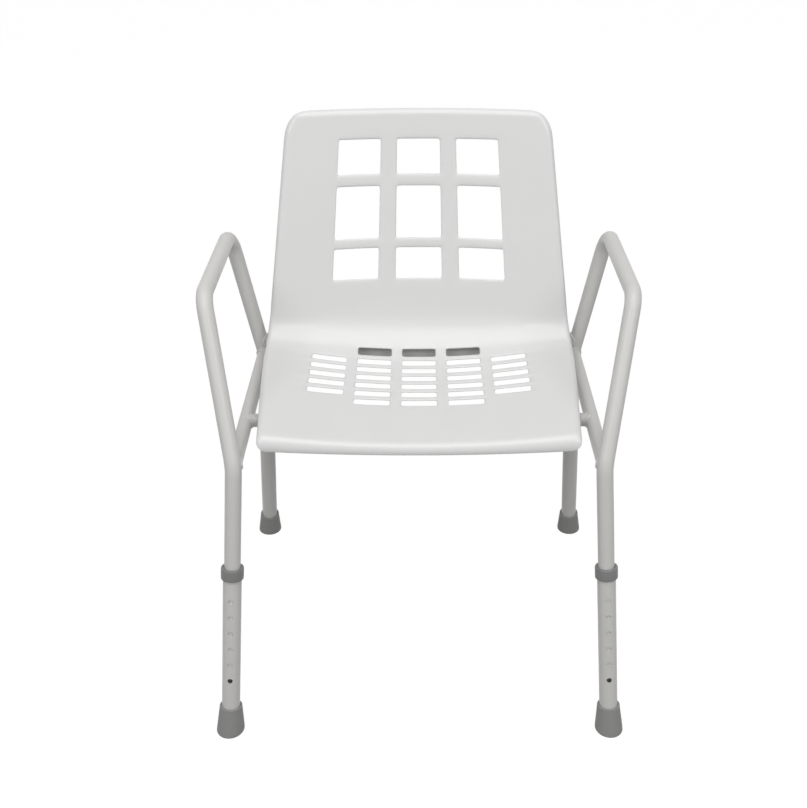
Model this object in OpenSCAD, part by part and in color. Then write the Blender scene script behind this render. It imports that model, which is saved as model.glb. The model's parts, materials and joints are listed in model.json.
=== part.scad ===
// Height-adjustable shower chair: moulded seat shell on a bent tube frame with
// four telescopic legs. Millimetres, +Z up, origin on the floor midway between
// the feet, the front of the seat facing -Y. Left is -X, as seen from the front.

/* [Frame] */
// Half the distance between the left and right feet on the floor
foot_x = 271; // [230:1:320]
// Half the distance between the front and rear feet on the floor
foot_y = 239; // [200:1:280]
// Half the distance between the side rails
rail_x = 243; // [210:1:280]
// Half the length of a side rail, joint to joint
rail_y = 165; // [140:1:200]
// Height of the side rails' centre line
rail_z = 399; // [360:1:450]
// Half the distance between the armrests
arm_x = 281; // [240:1:320]
// Front bend of the armrest
arm_front_y = -59; // [-120:1:0]
// Rear bend of the armrest
arm_rear_y = 168; // [120:1:200]
// Height of the armrest's centre line
arm_z = 596; // [540:1:660]
// Outside diameter of the frame tube
tube_d = 22.2; // [19:0.1:28]
// Wall of every tube
tube_wall = 1.2; // [0.8:0.1:2]
// Outside diameter of the side rails
rail_d = 20; // [16:0.1:22]
// Centre-line radius of the armrest bends
arm_bend_r = 32; // [28:1:80]
// Centre-line radius of the bends at seat height
joint_bend_r = 60; // [40:1:90]

/* [Cross tubes] */
// Outside diameter of the two cross tubes
cross_d = 19; // [16:0.1:22]
// Where the front cross tube stands
cross_front_y = -45; // [-90:1:0]
// Height of the rear cross tube's ends
cross_rear_z = 421; // [415:1:430]
// How far the rear cross tube bows down in the middle
cross_rear_dip = 22; // [10:1:28]

/* [Telescopic legs] */
// Outside diameter of the lower leg
lower_d = 25.4; // [22:0.1:32]
// Bore of the lower leg, with running room for the frame tube
lower_bore = 22.9; // [22.6:0.1:28]
// Distance between two height holes
hole_pitch = 25; // [20:1:30]
// Number of height holes in each leg
hole_count = 6; // [3:1:8]
// Diameter of the height holes
hole_d = 7.2; // [5:0.1:9]
// Height of the lowest hole, measured along the leg from the floor
hole_start = 88; // [70:1:120]
// Top of the collar, measured along the leg from the floor
collar_top = 261; // [220:1:300]
// Height of the collar
collar_h = 17; // [10:1:30]
// Outside diameter of the collar
collar_d = 31; // [28:0.5:36]

/* [Rubber feet] */
// Diameter at the floor
foot_d = 39.5; // [34:0.5:50]
// Diameter at the top
foot_top_d = 32; // [28:0.5:38]
// Height along the leg
foot_h = 41; // [25:1:60]

/* [Seat shell] */
// Height of the sitting surface on the centre line
seat_z = 414.5; // [400:0.5:440]
// Where the flat of the seat meets the rolled front lip
seat_front_y = -126; // [-160:1:-90]
// Length of the flat, front to back
seat_flat = 221; // [180:1:260]
// Radius of the rolled front lip
lip_r = 12; // [8:1:20]
// Radius of the bend between the seat and the back
seat_bend_r = 70; // [50:1:110]
// How far the back leans, from upright
recline = 12; // [5:1:20]
// Length of the straight back
back_len = 292; // [220:1:360]
// Radius of the rolled top edge
top_r = 12; // [6:1:20]
// Radius of the rolled side edges
edge_r = 10; // [6:1:16]
// Thickness of the shell
shell_t = 3.5; // [2.5:0.1:6]
// Rounding of the two top corners
top_corner_r = 38; // [15:1:60]
// Rounding of the two front corners
front_corner_r = 16; // [8:1:30]
// Drain slot width, across the seat
slot_w = 50; // [30:1:60]
// Distance between two columns of slots
slot_pitch_x = 67; // [55:1:80]
// Drain slot opening, front to back
slot_open = 15; // [8:1:18]
// Distance between two rows of slots
slot_pitch_y = 24; // [18:1:30]
// Centre of the first row of slots
slot_first_y = -22; // [-60:1:0]

/* [Hidden] */
$fn = 48;
lip_turn = 110;
top_turn = 60;
back_turn = 90 - recline;
lip_len = lip_r * lip_turn * PI / 180;
bend_len = seat_bend_r * back_turn * PI / 180;
top_len = top_r * top_turn * PI / 180;
s_seat = lip_len;
s_bend = s_seat + seat_flat;
s_back = s_bend + bend_len;
s_roll = s_back + back_len;
s_end = s_roll + top_len;
paint = [0.80, 0.79, 0.76];
shell_white = [0.90, 0.90, 0.89];
grey_plastic = [0.45, 0.45, 0.45];
grey_rubber = [0.42, 0.42, 0.42];
dark_steel = [0.16, 0.16, 0.17];
bright_steel = [0.62, 0.63, 0.65];

front_foot = [foot_x, -foot_y, 0];
front_joint = [rail_x, -rail_y, rail_z];
leg_axis = (front_joint - front_foot) / norm(front_joint - front_foot);
leg_end = hole_start - 24;
button_tip = 13.7;

// ---------------------------------------------------------------- placing

function unit(v) = v / norm(v);

// Matrix that puts local Z along z and local Y as near to ref as it goes
function placed(o, z, ref) =
    let (x = unit(cross(ref, z)), y = cross(z, x))
    [[x[0], y[0], z[0], o[0]], [x[1], y[1], z[1], o[1]], [x[2], y[2], z[2], o[2]], [0, 0, 0, 1]];

// Right side is drawn, left side is its mirror image
module on_side(side) { mirror([side < 0 ? 1 : 0, 0, 0]) children(); }

// The front right leg is drawn along Z with its holes facing -Y; the rest mirror it
module on_leg(side, end) {
    mirror([side < 0 ? 1 : 0, 0, 0]) mirror([0, end > 0 ? 1 : 0, 0])
        multmatrix(placed(front_foot, leg_axis, [0, 1, 0])) children();
}

module rod(p, q, d) {
    multmatrix(placed(p, unit(q - p), abs(unit(q - p)[1]) > 0.9 ? [1, 0, 0] : [0.5, 1, 0]))
        cylinder(h = norm(q - p), d = d);
}

// ---------------------------------------------------------------- bent tubes

function bend_angle(p, i) = acos(unit(p[i] - p[i - 1]) * unit(p[i + 1] - p[i]));
function bend_cut(p, r, i) =
    (i == 0 || i == len(p) - 1) ? 0 : r[i - 1] * tan(bend_angle(p, i) / 2);

module bend(p, r, i, d) {
    u = unit(p[i] - p[i - 1]);
    n = unit(cross(u, unit(p[i + 1] - p[i])));
    m = cross(n, u);
    c = p[i] - u * bend_cut(p, r, i) + m * r[i - 1];
    more = bend_lap / r[i - 1] * 180 / PI;
    multmatrix([[-m[0], u[0], n[0], c[0]], [-m[1], u[1], n[1], c[1]], [-m[2], u[2], n[2], c[2]], [0, 0, 0, 1]])
        rotate([0, 0, -more]) rotate_extrude(angle = bend_angle(p, i) + 2 * more)
            translate([r[i - 1], 0]) circle(d = d + bend_swell);
}

// A bend reaches bend_lap past its straights, and is wider by bend_swell
bend_lap = 1;
bend_swell = 0.2;

// A tube through the points p, with a bend of radius r[i - 1] at each inner point
module bent(p, r, d) {
    for (i = [0 : len(p) - 2]) {
        u = unit(p[i + 1] - p[i]);
        lap = u * bend_lap / 2;
        rod(p[i] + u * bend_cut(p, r, i) - (i == 0 ? [0, 0, 0] : lap),
            p[i + 1] - u * bend_cut(p, r, i + 1) + (i == len(p) - 2 ? [0, 0, 0] : lap), d);
    }
    for (i = [1 : len(p) - 2]) bend(p, r, i, d);
}

side_path = [
    front_foot + leg_axis * leg_end,
    front_joint,
    [arm_x, arm_front_y, arm_z],
    [arm_x, arm_rear_y, arm_z],
    [rail_x, rail_y, rail_z],
    [front_foot[0] + leg_axis[0] * leg_end, foot_y - leg_axis[1] * leg_end, leg_axis[2] * leg_end]];
side_bends = [joint_bend_r, arm_bend_r, arm_bend_r, joint_bend_r];

module button_hole(end) {
    mirror([0, end > 0 ? 1 : 0, 0]) multmatrix(placed(front_foot, leg_axis, [0, 1, 0]))
        translate([0, 0, hole_start]) rotate([90, 0, 0]) cylinder(h = lower_d, d = hole_d);
}

// Front leg, upright, armrest, rear upright and rear leg in one bent tube
module side_frame() {
    difference() {
        bent(side_path, side_bends, tube_d);
        bent(side_path, side_bends, tube_d - 2 * tube_wall);
        button_hole(-1);
        button_hole(1);
    }
}
module side_frame_left() { color(paint) on_side(-1) side_frame(); }
module side_frame_right() { color(paint) on_side(1) side_frame(); }

// Straight rail, coped at both ends and welded to the side frame
module side_rail() {
    difference() {
        rod([rail_x, -rail_y, rail_z], [rail_x, rail_y, rail_z], rail_d);
        rod([rail_x, -rail_y - 1, rail_z], [rail_x, rail_y + 1, rail_z], rail_d - 2 * tube_wall);
        bent(side_path, side_bends, tube_d + 0.1);
    }
}
module side_rail_left() { color(paint) on_side(-1) side_rail(); }
module side_rail_right() { color(paint) on_side(1) side_rail(); }

// Cross tube between the side rails, coped over them
module front_cross_tube() {
    a = [rail_x, cross_front_y, rail_z];
    b = [-rail_x, cross_front_y, rail_z];
    color(paint) difference() {
        rod(b, a, cross_d);
        rod(b - [1, 0, 0], a + [1, 0, 0], cross_d - 2 * tube_wall);
        for (side = [-1, 1])
            rod([side * rail_x, -rail_y, rail_z], [side * rail_x, rail_y, rail_z], rail_d + 0.1);
    }
}

// The rear cross tube is one even arc, hung between the axes of the rear uprights
cross_end_x = rail_x + 4;
bow_r = (cross_end_x * cross_end_x + cross_rear_dip * cross_rear_dip) / (2 * cross_rear_dip);
bow_half = asin(cross_end_x / bow_r);
function bow_tilt(x) = asin(x / bow_r);
function bow_z(x) = cross_rear_z - cross_rear_dip + bow_r * (1 - cos(bow_tilt(x)));

module bow(half, d) {
    translate([0, rail_y, bow_z(0) + bow_r]) rotate([90, 0, 0]) rotate([0, 0, -90 - half])
        rotate_extrude(angle = 2 * half, $fn = 240) translate([bow_r, 0]) circle(d = d, $fn = 48);
}

// Bowed cross tube between the rear uprights, coped over them just above the rails
module rear_cross_tube() {
    color(paint) difference() {
        bow(bow_half, cross_d);
        bow(bow_half + 0.1, cross_d - 2 * tube_wall);
        for (side = [-1, 1]) on_side(side) bent(side_path, side_bends, tube_d + 0.1);
    }
}

// ---------------------------------------------------------------- seat shell

// Half the shell's width along its length, before the corners are rounded
function wide(s) = lookup(s, [[0, 215], [149, 227], [262, 233], [340, 226], [473, 211], [s_end, 191]]);
// Hollowing across the shell, as the 1/mm factor of x squared
function dish(s) =
    lookup(s, [[0, 0.00014], [s_seat, 0.00027], [170, 0.00046], [300, 0.0006], [400, 0.0007], [s_end, 0.0005]]);

function corner(d, r) = d >= r ? 0 : r - sqrt(max(0, r * r - (r - d) * (r - d)));
function half_width(s) = wide(s) - corner(s, front_corner_r) - corner(s_end - s, top_corner_r);

// Direction of the centre line at s, from +Y towards +Z
function heading(s) =
    s < s_seat ? lip_turn * (1 - s / s_seat) :
    s < s_bend ? 0 :
    s < s_back ? back_turn * (s - s_bend) / bend_len :
    s < s_roll ? back_turn :
    back_turn - top_turn * (s - s_roll) / top_len;

// Centre line of the sitting surface, as [y, z]
bend_end = [seat_front_y + seat_flat + seat_bend_r * sin(back_turn), seat_z + seat_bend_r * (1 - cos(back_turn))];
back_end = bend_end + back_len * [cos(back_turn), sin(back_turn)];
function centre(s) =
    let (h = heading(s))
    s < s_seat ? [seat_front_y - lip_r * sin(h), seat_z - lip_r * (1 - cos(h))] :
    s < s_bend ? [seat_front_y + s - s_seat, seat_z] :
    s < s_back ? [seat_front_y + seat_flat + seat_bend_r * sin(h), seat_z + seat_bend_r * (1 - cos(h))] :
    s < s_roll ? bend_end + (s - s_back) * [cos(h), sin(h)] :
    back_end + top_r * [sin(back_turn) - sin(h), cos(h) - cos(back_turn)];

// Lines that run along the shell: slot edges on the seat, opening edges on the back
seat_lines = [0, slot_w / 2, slot_pitch_x - slot_w / 2, slot_pitch_x, slot_pitch_x + slot_w / 2,
    2 * slot_pitch_x - slot_w / 2, 2 * slot_pitch_x, 2 * slot_pitch_x + slot_w / 2];
back_lines = [0, 0.157, 0.282, 0.385, 0.487, 0.59, 0.69, 0.79];
function line_x(i, s) =
    let (w = half_width(s), b = max(0, min(1, (s - 282) / 108)))
    i <= 7 ? min((1 - b) * seat_lines[i] * min(1, w / 200) + b * back_lines[i] * w, w) :
    i == 8 ? (line_x(7, s) + w - edge_r) / 2 :
    w - edge_r + edge_r * sin(30 * (i - 9));
// How far the rolled edge drops below the sitting surface on each line, running out at both ends
function line_drop(i, s) =
    i < 9 ? 0 : edge_r * (1 - cos(30 * (i - 9))) * max(0, min(1, s / s_seat, (s_end - s) / top_len));

last = 12;
// Direction in which the sides of the shell rise: up from the seat, forward from the back
function lift_heading(s) = s < s_bend ? 90 : s < s_back ? heading(s) + 90 : min(180, 90 + back_turn + (s - s_back) / 8);
function shell_point(i, s) =
    let (x = line_x(abs(i), s), up = lift_heading(s), lift = dish(s) * x * x - line_drop(abs(i), s), c = centre(s))
    [sign(i) * x, c[0] + lift * cos(up), c[1] + lift * sin(up)];

row_s = [for (r = [0 : 6]) s_seat + slot_first_y - seat_front_y + r * slot_pitch_y];
back_rows = [[52, 98], [114, 190], [209, 258]];
shell_lines = concat(
    [for (k = [0 : 6]) s_seat * k / 6], [s_seat + 20, s_seat + 50, s_seat + 80],
    [for (r = row_s, e = [-1, 1]) r + e * slot_open / 2],
    [292, 304, 316, 328, s_back, s_back + 18, s_back + 36],
    [for (r = back_rows, e = r) s_back + e],
    [s_back + 270, s_roll - 12, s_roll - 5, s_roll],
    [for (k = [1 : 5]) s_roll + top_len * k / 5]);

grid = [for (s = shell_lines) [for (i = [-last : last]) shell_point(i, s)]];
rows = len(grid);
cols = 2 * last + 1;
function clamp(v, n) = max(0, min(n - 1, v));
function shell_normal(j, i) =
    unit(cross(grid[j][clamp(i + 1, cols)] - grid[j][clamp(i - 1, cols)],
        grid[clamp(j + 1, rows)][i] - grid[clamp(j - 1, rows)][i]));

function between(v, a, b) = v > a && v < b;
// Is the cell between lines i and i + 1, rows j and j + 1, an opening?
function open_cell(i, j) =
    let (s = (shell_lines[j] + shell_lines[j + 1]) / 2, c = i - last, a = c < 0 ? -c - 1 : c,
        middle = a == 0, inner = a == 2 || a == 3, outer = a == 5 || a == 6,
        slot = len([for (r = [0 : 6]) if (abs(s - row_s[r]) < slot_open / 2) r]) > 0,
        slot_end = abs(s - row_s[0]) < slot_open / 2 || abs(s - row_s[6]) < slot_open / 2,
        window = len([for (r = back_rows) if (between(s, s_back + r[0], s_back + r[1])) r]) > 0)
    slot ? (middle || inner || (outer && !slot_end)) :
    window ? (middle || (a >= 2 && a <= 4)) : false;
solid = [for (i = [0 : cols - 2]) [for (j = [0 : rows - 2]) !open_cell(i, j)]];
function is_solid(i, j) = i >= 0 && j >= 0 && i < cols - 1 && j < rows - 1 && solid[i][j];

function top_id(i, j) = j * cols + i;
function low_id(i, j) = rows * cols + j * cols + i;
function two(a, b, c, d) = [[a, b, c], [a, c, d]];
function cell_faces(i, j) = concat(
    two(top_id(i, j), top_id(i, j + 1), top_id(i + 1, j + 1), top_id(i + 1, j)),
    two(low_id(i, j), low_id(i + 1, j), low_id(i + 1, j + 1), low_id(i, j + 1)),
    is_solid(i, j - 1) ? [] : two(top_id(i, j), top_id(i + 1, j), low_id(i + 1, j), low_id(i, j)),
    is_solid(i, j + 1) ? [] : two(top_id(i + 1, j + 1), top_id(i, j + 1), low_id(i, j + 1), low_id(i + 1, j + 1)),
    is_solid(i - 1, j) ? [] : two(top_id(i, j + 1), top_id(i, j), low_id(i, j), low_id(i, j + 1)),
    is_solid(i + 1, j) ? [] : two(top_id(i + 1, j), top_id(i + 1, j + 1), low_id(i + 1, j + 1), low_id(i + 1, j)));

// One moulding: rolled front lip, dished seat with drain slots, leaning back with nine openings
module seat_shell() {
    color(shell_white) polyhedron(
        points = concat(
            [for (j = [0 : rows - 1], i = [0 : cols - 1]) grid[j][i]],
            [for (j = [0 : rows - 1], i = [0 : cols - 1]) grid[j][i] - shell_t * shell_normal(j, i)]),
        faces = [for (i = [0 : cols - 2], j = [0 : rows - 2]) if (solid[i][j]) each cell_faces(i, j)],
        convexity = 10);
}

// ---------------------------------------------------------------- seat fixings

saddle_x = 120;
saddle_w = 28;
saddle_foot = 20;
screw_y = 15;

// Puts a fixing on a cross tube, with the tube's axis along local X
module on_cross(side, end) {
    on_side(side)
        translate([saddle_x, end < 0 ? cross_front_y : rail_y, end < 0 ? rail_z : bow_z(saddle_x)])
            rotate([0, end < 0 ? 0 : -bow_tilt(saddle_x), 0]) children();
}

// Side view of a saddle: flat on top under the seat, leaning under the bend at the rear
module saddle_profile(end) {
    if (end < 0)
        translate([-saddle_foot, 0.3]) square([2 * saddle_foot, seat_z - rail_z - 0.3]);
    else
        polygon([[-saddle_foot, 0.3], [saddle_foot, 0.3], [saddle_foot, 8], [-19, 37], [-34, 24]]);
}

// Plastic saddle that carries the shell on a cross tube
module saddle(side, end) {
    color(grey_plastic) on_cross(side, end) difference() {
        translate([-saddle_w / 2, 0, 0]) rotate([90, 0, 90]) linear_extrude(saddle_w) saddle_profile(end);
        rod([-saddle_w, 0, 0], [saddle_w, 0, 0], cross_d + 0.2);
        for (e = [-1, 1]) translate([0, e * screw_y, 0]) cylinder(h = 11, d = 4.2);
    }
}
module saddle_front_left() { saddle(-1, -1); }
module saddle_front_right() { saddle(1, -1); }
module saddle_rear_left() { saddle(-1, 1); }
module saddle_rear_right() { saddle(1, 1); }

// Steel straps that hold the saddles down on the cross tubes
module clip_straps() {
    color(bright_steel)
    for (side = [-1, 1], end = [-1, 1]) on_cross(side, end) difference() {
        translate([-10, 0, 0]) rotate([90, 0, 90]) linear_extrude(20) difference() {
            union() {
                circle(d = cross_d + 3.2);
                translate([-saddle_foot, -1.5]) square([2 * saddle_foot, 1.5]);
            }
            circle(d = cross_d + 0.2);
            translate([-saddle_foot - 1, 0]) square([2 * saddle_foot + 2, cross_d]);
        }
        for (e = [-1, 1]) translate([0, e * screw_y, -3]) cylinder(h = 5, d = 4.2);
    }
}

// Pan-head screws, up through the straps into the saddles
module strap_screws() {
    color(bright_steel)
    for (side = [-1, 1], end = [-1, 1], e = [-1, 1]) on_cross(side, end) translate([0, e * screw_y, -1.55]) {
        cylinder(h = 11, d = 4);
        translate([0, 0, -2.2]) difference() {
            cylinder(h = 2.2, d1 = 6, d2 = 8);
            for (a = [0, 90]) rotate([0, 0, a]) translate([-2, -0.4, -1]) cube([4, 0.8, 2]);
        }
    }
}

// ---------------------------------------------------------------- telescopic leg

sleeve_r = lower_d / 2 + 0.05;
tube_foot = 10;
washer_t = 1.5;

module lower_leg() {
    difference() {
        translate([0, 0, tube_foot]) cylinder(h = collar_top - 3 - tube_foot, d = lower_d);
        translate([0, 0, tube_foot - 1]) cylinder(h = collar_top, d = lower_bore);
        for (k = [0 : hole_count - 1]) translate([0, 0, hole_start + k * hole_pitch])
            rotate([90, 0, 0]) cylinder(h = lower_d, d = hole_d);
    }
}

// Grey ring on top of the lower leg that guides the frame tube
module leg_collar() {
    translate([0, 0, collar_top - collar_h]) difference() {
        union() {
            cylinder(h = collar_h - 1.5, d = collar_d);
            translate([0, 0, collar_h - 1.5]) cylinder(h = 1.5, d1 = collar_d, d2 = collar_d - 3);
        }
        translate([0, 0, -1]) cylinder(h = collar_h - 3 + 1.05, r = sleeve_r);
        translate([0, 0, -1]) cylinder(h = collar_h + 2, d = lower_bore + 0.1);
    }
}

// Rubber ferrule, cut level where it stands on the floor
module rubber_foot(side, end) {
    intersection() {
        on_leg(side, end) difference() {
            union() {
                translate([0, 0, -12]) cylinder(h = 18, d = foot_d);
                translate([0, 0, 6]) cylinder(h = foot_h - 8, d1 = foot_d, d2 = foot_top_d);
                translate([0, 0, foot_h - 2]) cylinder(h = 2, d1 = foot_top_d, d2 = foot_top_d - 2);
            }
            translate([0, 0, tube_foot - washer_t - 0.05]) cylinder(h = foot_h, r = sleeve_r);
        }
        translate([-500, -500, 0]) cube([1000, 1000, 200]);
    }
}

// Steel disc that keeps the tube's end from cutting through the rubber
module foot_washer() {
    translate([0, 0, tube_foot - washer_t]) cylinder(h = washer_t - 0.05, d = lower_d - 1);
}

// Snap button: tip through the tubes' holes, flange inside the frame tube
module snap_button() {
    translate([0, 0, hole_start]) rotate([90, 0, 0]) {
        translate([0, 0, 6.2]) cylinder(h = 1.2, d = 9);
        translate([0, 0, 7.3]) cylinder(h = button_tip - 0.9 - 7.3, d = hole_d - 0.8);
        translate([0, 0, button_tip - 0.9]) cylinder(h = 0.9, d1 = hole_d - 0.8, d2 = hole_d - 2.8);
    }
}

// V-shaped leaf spring inside the frame tube, behind the button
module button_spring() {
    translate([0, 0, hole_start]) rotate([90, 0, 90]) translate([0, 0, -4]) linear_extrude(8)
        polygon([[-6.1, -8], [-5.3, -8], [-5.3, 6], [1.4, 49], [7.9, -16], [8.7, -16], [1.9, 53], [0.9, 53], [-6.1, 7]]);
}

module lower_leg_front_left() { color(paint) on_leg(-1, -1) lower_leg(); }
module lower_leg_front_right() { color(paint) on_leg(1, -1) lower_leg(); }
module lower_leg_rear_left() { color(paint) on_leg(-1, 1) lower_leg(); }
module lower_leg_rear_right() { color(paint) on_leg(1, 1) lower_leg(); }
module leg_collar_front_left() { color(grey_plastic) on_leg(-1, -1) leg_collar(); }
module leg_collar_front_right() { color(grey_plastic) on_leg(1, -1) leg_collar(); }
module leg_collar_rear_left() { color(grey_plastic) on_leg(-1, 1) leg_collar(); }
module leg_collar_rear_right() { color(grey_plastic) on_leg(1, 1) leg_collar(); }
module rubber_foot_front_left() { color(grey_rubber) rubber_foot(-1, -1); }
module rubber_foot_front_right() { color(grey_rubber) rubber_foot(1, -1); }
module rubber_foot_rear_left() { color(grey_rubber) rubber_foot(-1, 1); }
module rubber_foot_rear_right() { color(grey_rubber) rubber_foot(1, 1); }
module foot_washer_front_left() { color(bright_steel) on_leg(-1, -1) foot_washer(); }
module foot_washer_front_right() { color(bright_steel) on_leg(1, -1) foot_washer(); }
module foot_washer_rear_left() { color(bright_steel) on_leg(-1, 1) foot_washer(); }
module foot_washer_rear_right() { color(bright_steel) on_leg(1, 1) foot_washer(); }
module snap_button_front_left() { color(dark_steel) on_leg(-1, -1) snap_button(); }
module snap_button_front_right() { color(dark_steel) on_leg(1, -1) snap_button(); }
module snap_button_rear_left() { color(dark_steel) on_leg(-1, 1) snap_button(); }
module snap_button_rear_right() { color(dark_steel) on_leg(1, 1) snap_button(); }
module button_spring_front_left() { color(bright_steel) on_leg(-1, -1) button_spring(); }
module button_spring_front_right() { color(bright_steel) on_leg(1, -1) button_spring(); }
module button_spring_rear_left() { color(bright_steel) on_leg(-1, 1) button_spring(); }
module button_spring_rear_right() { color(bright_steel) on_leg(1, 1) button_spring(); }

seat_shell();
side_frame_left();
side_frame_right();
side_rail_left();
side_rail_right();
front_cross_tube();
rear_cross_tube();
saddle_front_left();
saddle_front_right();
saddle_rear_left();
saddle_rear_right();
clip_straps();
strap_screws();
lower_leg_front_left();
lower_leg_front_right();
lower_leg_rear_left();
lower_leg_rear_right();
leg_collar_front_left();
leg_collar_front_right();
leg_collar_rear_left();
leg_collar_rear_right();
rubber_foot_front_left();
rubber_foot_front_right();
rubber_foot_rear_left();
rubber_foot_rear_right();
foot_washer_front_left();
foot_washer_front_right();
foot_washer_rear_left();
foot_washer_rear_right();
snap_button_front_left();
snap_button_front_right();
snap_button_rear_left();
snap_button_rear_right();
button_spring_front_left();
button_spring_front_right();
button_spring_rear_left();
button_spring_rear_right();
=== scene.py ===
"""A height-adjustable shower chair: a moulded white seat shell with drain slots on a bent,
powder-coated tube frame, and four telescopic legs with snap buttons and rubber ferrules."""
import json
import math

import bpy
import numpy as np
from mathutils import Matrix, Vector


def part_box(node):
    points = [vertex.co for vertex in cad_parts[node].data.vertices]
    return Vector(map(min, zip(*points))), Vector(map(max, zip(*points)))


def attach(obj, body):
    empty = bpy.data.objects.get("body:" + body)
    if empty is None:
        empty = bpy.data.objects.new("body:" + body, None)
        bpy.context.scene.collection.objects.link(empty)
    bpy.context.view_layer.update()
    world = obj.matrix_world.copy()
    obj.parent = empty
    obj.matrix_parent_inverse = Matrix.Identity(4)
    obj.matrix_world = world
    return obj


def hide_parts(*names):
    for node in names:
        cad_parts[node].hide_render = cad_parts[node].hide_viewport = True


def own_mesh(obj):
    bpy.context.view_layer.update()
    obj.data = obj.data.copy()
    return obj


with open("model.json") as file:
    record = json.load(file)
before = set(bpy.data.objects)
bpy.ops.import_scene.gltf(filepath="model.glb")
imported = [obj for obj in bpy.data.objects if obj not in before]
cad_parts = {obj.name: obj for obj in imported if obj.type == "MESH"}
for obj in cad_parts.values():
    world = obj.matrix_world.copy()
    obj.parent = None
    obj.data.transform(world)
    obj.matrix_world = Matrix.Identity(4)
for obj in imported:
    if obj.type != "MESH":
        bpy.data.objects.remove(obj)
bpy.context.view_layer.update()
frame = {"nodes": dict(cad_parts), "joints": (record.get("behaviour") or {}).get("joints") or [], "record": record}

# ------------------------------------------------------------------ camera
# A standing person's view from straight in front of the chair, looking down at the seat.

camera_place = Vector((0, -1.339, 1.173))
camera_tilt = math.radians(90 - 30.03)
camera_roll = math.radians(-0.13)
camera_data = bpy.data.cameras.new("front_view")
camera_data.lens = 47.8
camera_data.sensor_width = 36
camera_data.shift_x = -0.0192
camera = bpy.data.objects.new("front_view", camera_data)
camera.matrix_world = (Matrix.Translation(camera_place) @ Matrix.Rotation(camera_tilt, 4, "X")
                       @ Matrix.Rotation(camera_roll, 4, "Z"))
bpy.context.scene.collection.objects.link(camera)
bpy.context.scene.camera = camera

# ------------------------------------------------------------------ bent side frames
# Each side is one steel tube, bent cold into front leg, upright, armrest, rear upright and rear
# leg, then powder-coated in a warm light grey. The two cross tubes and rails are welded to it.

tube_r = 0.0111
tube_wall = 0.0012
armrest_bend = 0.032
joint_bend = 0.060
bend_swell = 0.0001
tube_foot = 0.064
armrest_front_y = -0.059
armrest_rear_y = 0.168
paint_grey = (0.680, 0.673, 0.655)
paint_shade = (0.635, 0.628, 0.610)


def unit(v):
    """Each vector divided by its own length."""
    return v / np.linalg.norm(v, axis=-1, keepdims=True)


def surface(name, grid, ends="joined"):
    """A mesh of quads over a grid of points, rows by columns. Columns join up round each row. The first
    and last rows are joined to each other, or each is capped with one flat face."""
    rows, columns = grid.shape[:2]
    row = np.arange(rows if ends == "joined" else rows - 1)[:, None]
    column = np.arange(columns)[None, :]
    after = (row + 1) % rows
    beside = (column + 1) % columns
    quads = np.stack([row * columns + column, row * columns + beside,
                      after * columns + beside, after * columns + column], axis=-1).reshape(-1, 4)
    faces = quads.tolist()
    if ends == "capped":
        faces.append(list(range(columns))[::-1])
        faces.append(list(range((rows - 1) * columns, rows * columns)))
    return solid_piece(name, grid.reshape(-1, 3), faces)


def solid_piece(name, points, faces):
    """A smooth-shaded object at the origin, with its place in its mesh."""
    mesh = bpy.data.meshes.new(name)
    mesh.from_pydata(points.tolist(), [], faces)
    mesh.polygons.foreach_set("use_smooth", np.full(len(faces), True))
    mesh.update()
    made = bpy.data.objects.new(name, mesh)
    bpy.context.scene.collection.objects.link(made)
    return made


def bent_line(corners, radii, bend_points=22, run_points=9):
    """Points along straight runs joined by arcs. A bend of radius r at a corner that turns by a starts
    r tan(a / 2) before it and is swept about the point r away from both runs."""
    runs = []
    start = corners[0]
    for before, corner, after, r in zip(corners, corners[1:], corners[2:], radii):
        along = unit(corner - before)
        onward = unit(after - corner)
        turn = math.acos(along @ onward)
        inward = unit(onward - (onward @ along) * along)
        bend_start = corner - along * r * math.tan(turn / 2)
        centre = bend_start + inward * r
        sweep = np.linspace(0, turn, bend_points)[:, None]
        runs.append(start + (bend_start - start) * np.linspace(0, 1, run_points)[:-1, None])
        runs.append(centre + r * (along * np.sin(sweep) - inward * np.cos(sweep)))
        start = runs[-1][-1]
    runs.append(start + (corners[-1] - start) * np.linspace(0, 1, run_points + 1)[1:, None])
    line = np.concatenate(runs)
    moved = np.linalg.norm(np.diff(line, axis=0), axis=1) > 1e-7
    return line[np.concatenate([[True], moved])]


def hollow_tube(name, line, r, wall, sides=56):
    """A ring of radius r about every point of the line, down the outside and back up the bore.
    Each ring lies across the line, and starts from the direction nearest to +X."""
    tangent = unit(np.gradient(line, axis=0))
    first = unit(np.array([1.0, 0, 0]) - tangent[:, :1] * tangent)
    second = np.cross(tangent, first)
    rounding = 0.0003
    outer = np.full(len(line), r)
    line = np.concatenate([line[:1], line, line[-1:], line[-1:], line[::-1], line[:1]])
    tangent = np.concatenate([tangent[:1], tangent, tangent[-1:], tangent[-1:], tangent[::-1], tangent[:1]])
    first = np.concatenate([first[:1], first, first[-1:], first[-1:], first[::-1], first[:1]])
    second = np.concatenate([second[:1], second, second[-1:], second[-1:], second[::-1], second[:1]])
    lip = np.array([r - rounding])
    bore = np.array([r - wall + rounding])
    radius = np.concatenate([lip, outer, lip, bore, outer - wall, bore])
    step = np.zeros(len(line))
    half = len(outer)
    step[1] = rounding
    step[half] = -rounding
    step[half + 3] = -rounding
    step[-2] = rounding
    around = np.linspace(0, 2 * math.pi, sides, endpoint=False)
    ring = first[:, None] * np.cos(around)[:, None] + second[:, None] * np.sin(around)[:, None]
    return surface(name, (line + tangent * step[:, None])[:, None] + ring * radius[:, None, None])


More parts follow.
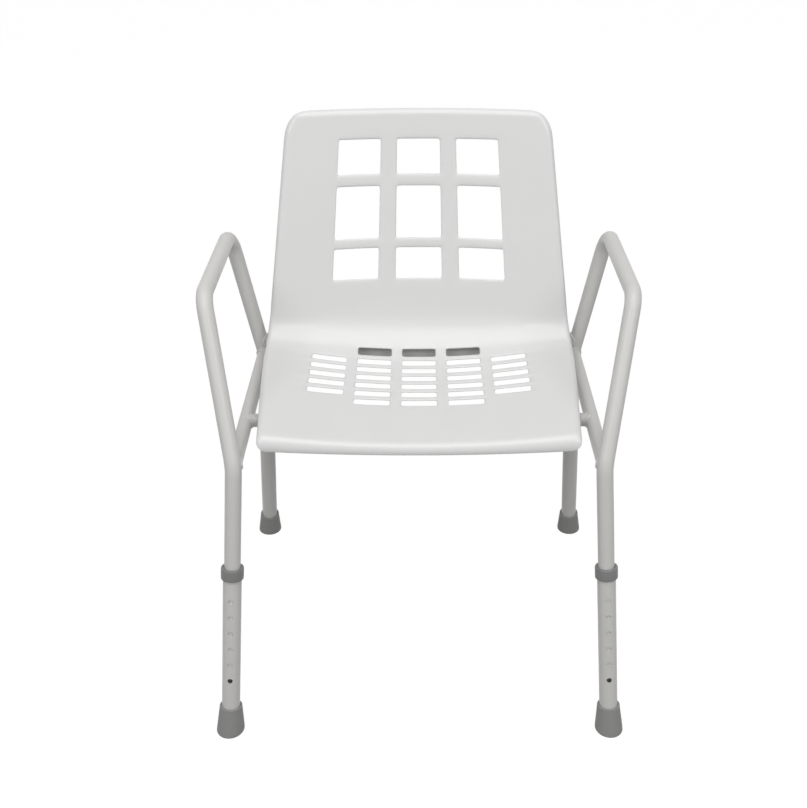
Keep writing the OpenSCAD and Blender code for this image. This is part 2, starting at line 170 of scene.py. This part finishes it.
def mottled(name, light, dark, patch, roughness, grain, depth):
    """A finish whose colour and sheen drift together over patches, and whose skin is bumped with a finer grain.
    Patch and grain are in metres, depth is the bump's height in metres."""
    made = bpy.data.materials.new(name)
    made.use_nodes = True
    nodes = made.node_tree.nodes
    link = made.node_tree.links.new
    shader = nodes["Principled BSDF"]
    place = nodes.new("ShaderNodeTexCoord")
    drift = nodes.new("ShaderNodeTexNoise")
    drift.inputs["Scale"].default_value = 1 / patch
    drift.inputs["Detail"].default_value = 4
    tone = nodes.new("ShaderNodeMix")
    tone.data_type = "RGBA"
    tone.inputs["A"].default_value = (*dark, 1)
    tone.inputs["B"].default_value = (*light, 1)
    skin = nodes.new("ShaderNodeTexNoise")
    skin.inputs["Scale"].default_value = 1 / grain
    skin.inputs["Detail"].default_value = 3
    sheen = nodes.new("ShaderNodeMapRange")
    sheen.inputs["From Min"].default_value = 0.3
    sheen.inputs["From Max"].default_value = 0.7
    sheen.inputs["To Min"].default_value = roughness[0]
    sheen.inputs["To Max"].default_value = roughness[1]
    bump = nodes.new("ShaderNodeBump")
    bump.inputs["Strength"].default_value = 1
    bump.inputs["Distance"].default_value = depth
    link(place.outputs["Object"], drift.inputs["Vector"])
    link(place.outputs["Object"], skin.inputs["Vector"])
    link(drift.outputs["Fac"], tone.inputs["Factor"])
    link(tone.outputs["Result"], shader.inputs["Base Color"])
    link(drift.outputs["Fac"], sheen.inputs["Value"])
    link(sheen.outputs["Result"], shader.inputs["Roughness"])
    link(skin.outputs["Fac"], bump.inputs["Height"])
    link(bump.outputs["Normal"], shader.inputs["Normal"])
    return made


def coat(piece, material):
    """Gives a piece one material all over."""
    piece.data.materials.clear()
    piece.data.materials.append(material)


rail_low, rail_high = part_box("side_rail_right")
frame_low, frame_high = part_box("side_frame_right")
rail_x = (rail_low.x + rail_high.x) / 2
rail_z = (rail_low.z + rail_high.z) / 2
rail_r = (rail_high.x - rail_low.x) / 2
joint_y = 0.165
armrest_x = frame_high.x - tube_r - bend_swell
armrest_z = frame_high.z - tube_r - bend_swell
foot_x, foot_y = np.abs(frame["record"]["mounts"][0]["pos_m"][:2])
front_foot = np.array([foot_x, -foot_y, 0])
front_joint = np.array([rail_x, -joint_y, rail_z])
leg_axis = unit(front_joint - front_foot)
tube_end = front_foot + leg_axis * tube_foot
mirror_y = np.array([1, -1, 1])
side_corners = np.array([tube_end, front_joint,
                         [armrest_x, armrest_front_y, armrest_z], [armrest_x, armrest_rear_y, armrest_z],
                         front_joint * mirror_y, tube_end * mirror_y])
side_line = bent_line(side_corners, [joint_bend, armrest_bend, armrest_bend, joint_bend])

powder_coat = mottled("powder_coat", paint_grey, paint_shade, 0.06, (0.30, 0.42), 0.0016, 0.00003)
for side, sign in (("left", -1), ("right", 1)):
    side_tube = hollow_tube(f"bent_tube_{side}", side_line * (sign, 1, 1), tube_r, tube_wall)
    coat(side_tube, powder_coat)
    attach(side_tube, "frame")
    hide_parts(f"side_frame_{side}")

# ------------------------------------------------------------------ rails, cross tubes and welds
# Tubes coped at their ends to sit on the tube they meet, and joined to it with a rippled weld bead
# all round. The rear cross tube bows down under the seat. All are powder-coated with the frame.

for straight in ("side_rail_left", "side_rail_right", "front_cross_tube", "rear_cross_tube"):
    coat(frame["nodes"][straight], powder_coat)


def cope_curve(start, away, r, other_line, other_r, turns=96):
    """The edge where one tube's skin leaves another's. Start is on the straight tube's axis inside the
    other tube, and away points out of it. Along each straight line of the skin, the edge is where the
    nearest point of the other's centre line first lies more than other_r away."""
    first = unit(np.cross(away, [0.3, 0.5, 0.9]))
    second = np.cross(away, first)
    turn = np.linspace(0, 2 * math.pi, turns, endpoint=False)[:, None]
    outward = first * np.cos(turn) + second * np.sin(turn)
    farthest = 0.04
    travel = np.linspace(-0.012, farthest, 131)
    skin = start + r * outward[:, None] + away * travel[:, None]
    near = other_line[np.linalg.norm(other_line - start, axis=1) < farthest + 0.03]
    gap = np.linalg.norm(skin[:, :, None] - near, axis=-1).min(axis=2) - other_r
    inside = len(travel) - 1 - np.argmax(gap[:, ::-1] < 0, axis=1)
    inside = np.minimum(inside, len(travel) - 2)
    pick = np.arange(turns)
    share = gap[pick, inside] / (gap[pick, inside] - gap[pick, inside + 1])
    reach = travel[inside] + share * (travel[1] - travel[0])
    return start + r * outward + away * reach[:, None], outward


def weld_bead(name, edge, outward, r, ripples):
    """A ring of radius r round each point of the closed edge, swelling and thinning by a tenth once
    for each ripple left by the torch."""
    tangent = unit(np.roll(edge, -1, axis=0) - np.roll(edge, 1, axis=0))
    first = unit(outward - np.sum(outward * tangent, axis=1, keepdims=True) * tangent)
    second = np.cross(tangent, first)
    turn = np.linspace(0, 2 * math.pi, len(edge), endpoint=False)
    thickness = r * (1 + 0.1 * np.sin(ripples * turn))
    around = np.linspace(0, 2 * math.pi, 14, endpoint=False)[:, None]
    section = first[:, None] * np.cos(around) + second[:, None] * np.sin(around)
    bead = surface(name, edge[:, None] + section * thickness[:, None, None])
    coat(bead, powder_coat)
    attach(bead, "frame")


def close_points(line, gap=0.001):
    """The same line with a point about every millimetre."""
    length = np.concatenate([[0], np.cumsum(np.linalg.norm(np.diff(line, axis=0), axis=1))])
    where = np.arange(0, length[-1], gap)
    return np.stack([np.interp(where, length, line[:, k]) for k in range(3)], axis=1)


# The rear cross tube is one even arc. A chord of half length a that rises by d has a slope of
# asin(2ad / (a^2 + d^2)) at its ends.
bead_r = 0.0021
rear_cross_z = 0.421
rear_dip = 0.022
rear_reach = rail_x + 0.004
rear_slope = math.asin(2 * rear_reach * rear_dip / (rear_reach ** 2 + rear_dip ** 2))
front_low, front_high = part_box("front_cross_tube")
cross_r = (front_high.z - front_low.z) / 2
front_cross = np.array([0, (front_low.y + front_high.y) / 2, rail_z])
rear_cross = np.array([0, joint_y, rear_cross_z])
for side, sign in (("left", -1), ("right", 1)):
    tube_line = close_points(side_line * (sign, 1, 1))
    rail_line = close_points(np.array([[sign * rail_x, -joint_y, rail_z], [sign * rail_x, joint_y, rail_z]]))
    inward = np.array([-sign, 0, 0])
    for end, towards in (("front", 1), ("rear", -1)):
        joint = np.array([sign * rail_x, -towards * joint_y, rail_z])
        edge, out = cope_curve(joint, np.array([0, towards, 0]), rail_r, tube_line, tube_r)
        weld_bead(f"weld_rail_{end}_{side}", edge, out, bead_r, 26)
    edge, out = cope_curve(front_cross - inward * rail_x, inward, cross_r, rail_line, rail_r)
    weld_bead(f"weld_cross_front_{side}", edge, out, bead_r, 24)
    downhill = inward * math.cos(rear_slope) - np.array([0, 0, math.sin(rear_slope)])
    edge, out = cope_curve(rear_cross - inward * rear_reach, downhill, cross_r, tube_line, tube_r)
    weld_bead(f"weld_cross_rear_{side}", edge, out, bead_r, 24)

# ------------------------------------------------------------------ telescopic legs
# Each lower leg is a wider tube that slides on the frame tube, drilled with a row of height holes.
# A dark steel snap button holds it at one of them. A leaf spring inside pushes the button out, and in the real
# chair flattens against the far wall of the tube when the button is pressed; here each spring only gets its own
# copy of its mesh.

legs = ("front_left", "front_right", "rear_left", "rear_right")
# The snap buttons get a near-black, partly metallic steel colour.
black_steel = mottled("near_black_steel", (0.035, 0.035, 0.038), (0.020, 0.020, 0.022), 0.003,
                      (0.30, 0.45), 0.0004, 0.00001)
bright_steel = mottled("bright_steel", (0.60, 0.60, 0.61), (0.50, 0.50, 0.51), 0.006,
                       (0.25, 0.40), 0.0006, 0.00001)
bright_steel.node_tree.nodes["Principled BSDF"].inputs["Metallic"].default_value = 1
black_steel.node_tree.nodes["Principled BSDF"].inputs["Metallic"].default_value = 0.6
press_axis = {joint["name"]: joint["axis"] for joint in frame["joints"]}
for leg in legs:
    coat(frame["nodes"][f"lower_leg_{leg}"], powder_coat)
    coat(frame["nodes"][f"snap_button_{leg}"], black_steel)
    coat(frame["nodes"][f"foot_washer_{leg}"], bright_steel)
    spring = frame["nodes"][f"button_spring_{leg}"]
    coat(spring, bright_steel)
    inward = np.array(press_axis[f"button_press_{leg}"])
    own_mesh(spring)

# ------------------------------------------------------------------ collars
# Grey moulded rings pushed over the top of each lower leg. An inward lip closes the gap to the
# sliding frame tube and stops it rattling.

collar_top = 0.261
collar_h = 0.017
collar_r = 0.0155
collar_bore = 0.0115
collar_mouth_r = 0.0141
collar_lip_h = 0.003
sleeve_r = 0.01275
collar_grey = (0.240, 0.240, 0.238)
collar_shade = (0.205, 0.205, 0.204)


def leg_frame(leg):
    """Foot point on the floor, direction up the leg, and two directions across it."""
    signs = np.array([-1 if "left" in leg else 1, 1 if "front" in leg else -1, 1])
    up = leg_axis * signs
    across = unit(np.cross(up, [0, 1, 0]))
    return front_foot * signs, up, across, np.cross(up, across)


def turned(outline, leg, around=72, cut_level=0):
    """Grid of points of an outline of (radius, height) carried round the leg. Up to height cut_level
    each point is slid along the leg so that height 0 lies level on the floor."""
    foot, up, across, along = leg_frame(leg)
    angle = np.linspace(0, 2 * math.pi, around, endpoint=False)[:, None]
    spoke = across * np.cos(angle) + along * np.sin(angle)
    radius = outline[:, :1, None]
    height = outline[:, 1:, None]
    if cut_level:
        height = height - (1 - height / cut_level) * radius * spoke[:, 2:] / up[2]
    return foot + up * height + spoke * radius


collar_plastic = mottled("collar_plastic", collar_grey, collar_shade, 0.01, (0.40, 0.52), 0.0007, 0.00003)
collar_foot = collar_top - collar_h
collar_lip = collar_top - collar_lip_h
collar_corners = np.array([[collar_mouth_r, collar_foot], [collar_r, collar_foot], [collar_r, collar_top],
                           [collar_bore, collar_top], [collar_bore, collar_lip], [sleeve_r, collar_lip],
                           [sleeve_r, collar_foot], [collar_mouth_r, collar_foot]])
collar_outline = bent_line(collar_corners, [0.0012, 0.0016, 0.0008, 0.0004, 0.0003, 0.0004], 6, 2)[:-1]
for leg in legs:
    collar = surface(f"collar_{leg}", turned(collar_outline, leg))
    coat(collar, collar_plastic)
    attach(collar, f"leg_{leg}")
    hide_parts(f"leg_collar_{leg}")

# ------------------------------------------------------------------ rubber ferrules
# Moulded grey rubber feet, flared towards the floor and cut level there, with ring-shaped treads
# underneath. The end of the lower leg stands on a steel washer inside each one.

ferrule_h = 0.041
ferrule_top_r = 0.016
ferrule_foot_r = 0.01975
ferrule_floor = 0.0084
tread_depth = 0.0010
tread_pitch = 0.0028
rubber_grey = (0.310, 0.309, 0.304)
rubber_shade = (0.260, 0.259, 0.255)

rubber = mottled("foot_rubber", rubber_grey, rubber_shade, 0.008, (0.52, 0.68), 0.0009, 0.00006)
tread_r = np.linspace(0.003, 0.0170, 57)
tread_h = tread_depth * np.clip(1.5 * np.sin(tread_r / tread_pitch * 2 * math.pi), 0, 1)
ferrule_corners = np.array([[0.0172, 0], [ferrule_foot_r, 0], [ferrule_foot_r - 0.0004, 0.006],
                            [ferrule_top_r, ferrule_h - 0.003], [ferrule_top_r, ferrule_h],
                            [sleeve_r, ferrule_h], [sleeve_r, ferrule_floor], [0.002, ferrule_floor]])
ferrule_side = bent_line(ferrule_corners, [0.0014, 0.004, 0.002, 0.0014, 0.0008, 0.0006], 7, 4)
ferrule_outline = np.concatenate([np.stack([tread_r, tread_h], axis=1), ferrule_side])
for leg in legs:
    ferrule = surface(f"ferrule_{leg}", turned(ferrule_outline, leg, cut_level=ferrule_h), ends="capped")
    coat(ferrule, rubber)
    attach(ferrule, f"leg_{leg}")
    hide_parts(f"rubber_foot_{leg}")

# ------------------------------------------------------------------ saddles, straps and screws
# Four grey plastic saddles sit on the cross tubes and carry the shell. A bright steel strap under
# each tube is drawn up by two pan-head screws.

for saddle in ("saddle_front_left", "saddle_front_right", "saddle_rear_left", "saddle_rear_right"):
    coat(frame["nodes"][saddle], collar_plastic)
coat(frame["nodes"]["clip_straps"], bright_steel)
coat(frame["nodes"]["strap_screws"], bright_steel)

# ------------------------------------------------------------------ seat shell
# One injection moulding in glossy white plastic: a rolled front lip, a hollowed seat with rows of
# drain slots, and a leaning back with nine openings, its edges rolled backwards all round.

seat_z = 0.4145
seat_front_y = -0.126
seat_flat = 0.221
lip_r = 0.012
lip_turn = math.radians(110)
seat_bend_r = 0.070
back_turn = math.radians(78)
back_len = 0.292
top_r = 0.012
top_turn = math.radians(60)
edge_r = 0.010
shell_t = 0.0035
top_corner_r = 0.038
front_corner_r = 0.016
slot_open = 0.0140
slot_pitch_y = 0.024
slot_first_y = -0.022
corner_guide = 0.004
blend_start = 0.282
blend_length = 0.108
full_seat_width = 0.2
lip_level = 0.13
lift_turn = math.radians(125)
shell_white = (0.800, 0.800, 0.795)
shell_shade = (0.775, 0.775, 0.770)

s_seat = lip_r * lip_turn
s_bend = s_seat + seat_flat
s_back = s_bend + seat_bend_r * back_turn
s_roll = s_back + back_len
s_end = s_roll + top_r * top_turn
back_rows = np.array([[0.052, 0.098], [0.114, 0.190], [0.209, 0.258]]) + s_back
slot_rows = s_seat + slot_first_y - seat_front_y + slot_pitch_y * np.arange(7)


def eased(s, places, values):
    """Straight interpolation between the values, its corners eased by averaging over 80 mm."""
    return np.mean([np.interp(s + d, places, values) for d in np.linspace(-0.04, 0.04, 9)], axis=0)


def heading(s):
    """Direction of the centre line, from +Y towards +Z: it falls evenly through the lip, is level on
    the seat, rises evenly through the bend, is steady up the back and falls over the top edge."""
    lip = lip_turn * np.clip(1 - s / s_seat, 0, 1)
    bend = back_turn * np.clip((s - s_bend) / (s_back - s_bend), 0, 1)
    roll = top_turn * np.clip((s - s_roll) / (s_end - s_roll), 0, 1)
    return lip + bend - roll


def centre_line(s):
    """The sum of short steps along the heading, placed so that the seat begins at seat_front_y."""
    fine = np.linspace(0, s_end, 6001)
    turn = heading((fine[1:] + fine[:-1]) / 2)
    step = fine[1] - fine[0]
    y = np.concatenate([[0], np.cumsum(np.cos(turn)) * step])
    z = np.concatenate([[0], np.cumsum(np.sin(turn)) * step])
    y += seat_front_y - np.interp(s_seat, fine, y)
    z += seat_z - np.interp(s_seat, fine, z)
    return np.interp(s, fine, y), np.interp(s, fine, z)


def half_width(s):
    """Half the shell's width: eased sides, less the rounding r - sqrt(r^2 - (r - d)^2) at a distance d
    from the front and the top."""
    places = [0, 0.149, 0.262, 0.340, 0.473, s_end]
    w = eased(s, places, [0.215, 0.227, 0.233, 0.226, 0.211, 0.191])
    for d, r in ((s, front_corner_r), (s_end - s, top_corner_r)):
        inset = np.clip(r - d, 0, r)
        w = w - (r - np.sqrt(r * r - inset * inset))
    return w


def shell_points(s, seat_x, back_share):
    """Points of the sitting surface. Columns lie at seat_x on the seat and at back_share of the half
    width on the back, then run out over the rolled side edge. The surface is lifted by a factor
    times x squared: upwards on the seat, less towards the lip's lower edge, forwards on the back."""
    w = half_width(s)[:, None]
    b = np.clip((s - blend_start) / blend_length, 0, 1)[:, None]
    inner = (1 - b) * seat_x * np.minimum(1, w / full_seat_width) + b * back_share * w
    inner = np.minimum(inner, w - edge_r - 0.002)
    middle = (inner[:, -1:] + w - edge_r) / 2
    roll = np.radians([0, 22.5, 45, 67.5, 90])
    x = np.concatenate([inner, middle, w - edge_r + edge_r * np.sin(roll)], axis=1)
    drop = np.concatenate([np.zeros(inner.shape[1] + 1), edge_r * (1 - np.cos(roll))])
    places = [s_seat, 0.170, 0.300, 0.400, s_end]
    hollow = 1000 * eased(s, places, [0.00027, 0.00046, 0.0006, 0.0007, 0.0005])[:, None]
    hollow = hollow - lip_level * np.clip(1 - s / s_seat, 0, 1)[:, None]
    x = np.concatenate([-x[:, :0:-1], x], axis=1)
    drop = np.concatenate([drop[:0:-1], drop])
    ending = np.clip(np.minimum(s / s_seat, (s_end - s) / (s_end - s_roll)), 0, 1)[:, None]
    lift = hollow * x * x - drop * ending
    onward = heading(np.minimum(s, s_roll)) + np.clip(s - s_back, 0, 1) * lift_turn
    turn = np.where(s < s_bend, 0, np.minimum(onward, math.pi / 2))[:, None]
    y, z = centre_line(s)
    return np.stack([x, y[:, None] - lift * np.sin(turn), z[:, None] + lift * np.cos(turn)], axis=-1)


# Lines that run along the shell: slot edges on the seat become opening edges on the back, each with
# a second line just inside it so that the corners keep small radii.
seat_x = np.array([0, 21, 25, 33.5, 42, 46, 67, 88, 92, 105, 109, 113, 134, 155, 159]) / 1000
back_share = np.array([0, 0.139, 0.157, 0.22, 0.282, 0.300, 0.385, 0.470, 0.487, 0.572, 0.59,
                       0.61, 0.69, 0.77, 0.79])
guides = np.array([-slot_open / 2, corner_guide - slot_open / 2,
                   slot_open / 2 - corner_guide, slot_open / 2])
window_edges = np.stack([back_rows[:, 0], back_rows[:, 0] + corner_guide,
                         back_rows[:, 1] - corner_guide, back_rows[:, 1]], axis=1)
shell_s = np.concatenate([np.linspace(0, s_seat, 9), s_seat + np.array([0.020, 0.050, 0.080]),
                          (slot_rows[:, None] + guides).ravel(), [0.292, 0.304, 0.316, 0.328],
                          s_back + np.array([0, 0.018, 0.036]), window_edges.ravel(),
                          [s_back + 0.270, s_roll - 0.012, s_roll - 0.005],
                          np.linspace(s_roll, s_end, 6)])
sheet = shell_points(shell_s, seat_x, back_share)
rows, columns = sheet.shape[:2]

# A cell is left out where its middle lies in a drain slot or in an opening of the back.
column_x = np.concatenate([-seat_x[::-1], seat_x[1:]])
edge_columns = (columns - len(column_x)) // 2
column_x = np.concatenate([np.full(edge_columns, -1.0), column_x, np.full(edge_columns, 1.0)])
cell_x = np.abs(column_x[1:] + column_x[:-1])[None, :] / 2
cell_s = ((shell_s[1:] + shell_s[:-1]) / 2)[:, None]
in_slot_row = np.abs(cell_s - slot_rows).min(axis=1, keepdims=True) < slot_open / 2
in_end_row = np.abs(cell_s - slot_rows[[0, 6]]).min(axis=1, keepdims=True) < slot_open / 2
in_window_row = ((cell_s > back_rows[:, 0]) & (cell_s < back_rows[:, 1])).any(axis=1, keepdims=True)
middle_edge, inner_start, inner_edge, outer_start, outer_edge = seat_x[[2, 4, 8, 10, 14]]
in_middle = cell_x < middle_edge
in_inner = (cell_x > inner_start) & (cell_x < inner_edge)
in_outer = (cell_x > outer_start) & (cell_x < outer_edge)
in_side_window = (cell_x > inner_start) & (cell_x < outer_start)
is_open = (in_slot_row & (in_middle | in_inner | (in_outer & ~in_end_row))
           | in_window_row & (in_middle | in_side_window))
row, column = np.nonzero(~is_open)
corner = row * columns + column
cells = np.stack([corner, corner + 1, corner + columns + 1, corner + columns], axis=1)
used, cells = np.unique(cells, return_inverse=True)
shell = solid_piece("moulded_shell", sheet.reshape(-1, 3)[used], cells.reshape(-1, 4).tolist())
wall = shell.modifiers.new("wall", "SOLIDIFY")
wall.thickness = shell_t
wall.offset = -1
wall.use_even_offset = True
rounding = shell.modifiers.new("rounded_edges", "SUBSURF")
rounding.levels = 2
rounding.render_levels = 2
gloss_white = mottled("gloss_white_plastic", shell_white, shell_shade, 0.09, (0.20, 0.27), 0.003, 0.00002)
coat(shell, gloss_white)
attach(shell, "frame")
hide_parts("seat_shell")

# ------------------------------------------------------------------ studio
# A pale floor that runs out to the horizon, soft lamps overhead and in front, and white surroundings.
# The floor and the surroundings show the camera a white ground, and the floor keeps the shadow.

floor_mesh = bpy.data.meshes.new("floor")
floor_mesh.from_pydata([(-12, -12, 0), (12, -12, 0), (12, 12, 0), (-12, 12, 0)], [], [(0, 1, 2, 3)])
floor = bpy.data.objects.new("floor", floor_mesh)
bpy.context.scene.collection.objects.link(floor)


def seen_share(tree):
    """1 for what the camera sees directly, in a mirror or through glass, and 0 for what only lights."""
    path = tree.nodes.new("ShaderNodeLightPath")
    either = tree.nodes.new("ShaderNodeMath")
    either.operation = "MAXIMUM"
    either_or = tree.nodes.new("ShaderNodeMath")
    either_or.operation = "MAXIMUM"
    tree.links.new(path.outputs["Is Camera Ray"], either.inputs[0])
    tree.links.new(path.outputs["Is Glossy Ray"], either.inputs[1])
    tree.links.new(either.outputs[0], either_or.inputs[0])
    tree.links.new(path.outputs["Is Transmission Ray"], either_or.inputs[1])
    return either_or.outputs[0]


floor_paint = bpy.data.materials.new("pale_floor")
floor_paint.use_nodes = True
floor_nodes = floor_paint.node_tree.nodes
floor_nodes.remove(floor_nodes["Principled BSDF"])
matt = floor_nodes.new("ShaderNodeBsdfDiffuse")
matt.inputs["Color"].default_value = (0.36, 0.36, 0.36, 1)
glow = floor_nodes.new("ShaderNodeEmission")
glow.inputs["Strength"].default_value = 1.16
kept_shadow = floor_nodes.new("ShaderNodeMixShader")
seen = floor_nodes.new("ShaderNodeMath")
seen.operation = "MULTIPLY"
seen.inputs[1].default_value = 0.84
floor_link = floor_paint.node_tree.links.new
floor_link(seen_share(floor_paint.node_tree), seen.inputs[0])
floor_link(seen.outputs[0], kept_shadow.inputs["Fac"])
floor_link(matt.outputs[0], kept_shadow.inputs[1])
floor_link(glow.outputs[0], kept_shadow.inputs[2])
floor_link(kept_shadow.outputs[0], floor_nodes["Material Output"].inputs["Surface"])
coat(floor, floor_paint)

world = bpy.data.worlds.new("studio")
world.use_nodes = True
bpy.context.scene.world = world
surround = world.node_tree.nodes["Background"]
white = world.node_tree.nodes.new("ShaderNodeMix")
white.inputs["A"].default_value = 0.32
white.inputs["B"].default_value = 1.0
world.node_tree.links.new(seen_share(world.node_tree), white.inputs["Factor"])
world.node_tree.links.new(white.outputs["Result"], surround.inputs["Strength"])
surround.inputs["Color"].default_value = (1, 1, 1, 1)


def soft_lamp(name, place, target, size, power):
    """A square lamp of the given side, turned to face the target."""
    lamp = bpy.data.lights.new(name, "AREA")
    lamp.size = size
    lamp.energy = power
    holder = bpy.data.objects.new(name, lamp)
    holder.location = place
    holder.rotation_euler = (Vector(target) - Vector(place)).to_track_quat("-Z", "Y").to_euler()
    bpy.context.scene.collection.objects.link(holder)


soft_lamp("overhead", (0, -0.9, 2.5), (0, 0, 0.4), 1.8, 25)
soft_lamp("front_left", (-1.2, -2.2, 2.1), (0, 0, 0.45), 0.6, 12)
soft_lamp("front_right", (1.2, -2.2, 2.1), (0, 0, 0.45), 0.6, 12)

bpy.context.scene.view_settings.view_transform = "Standard"
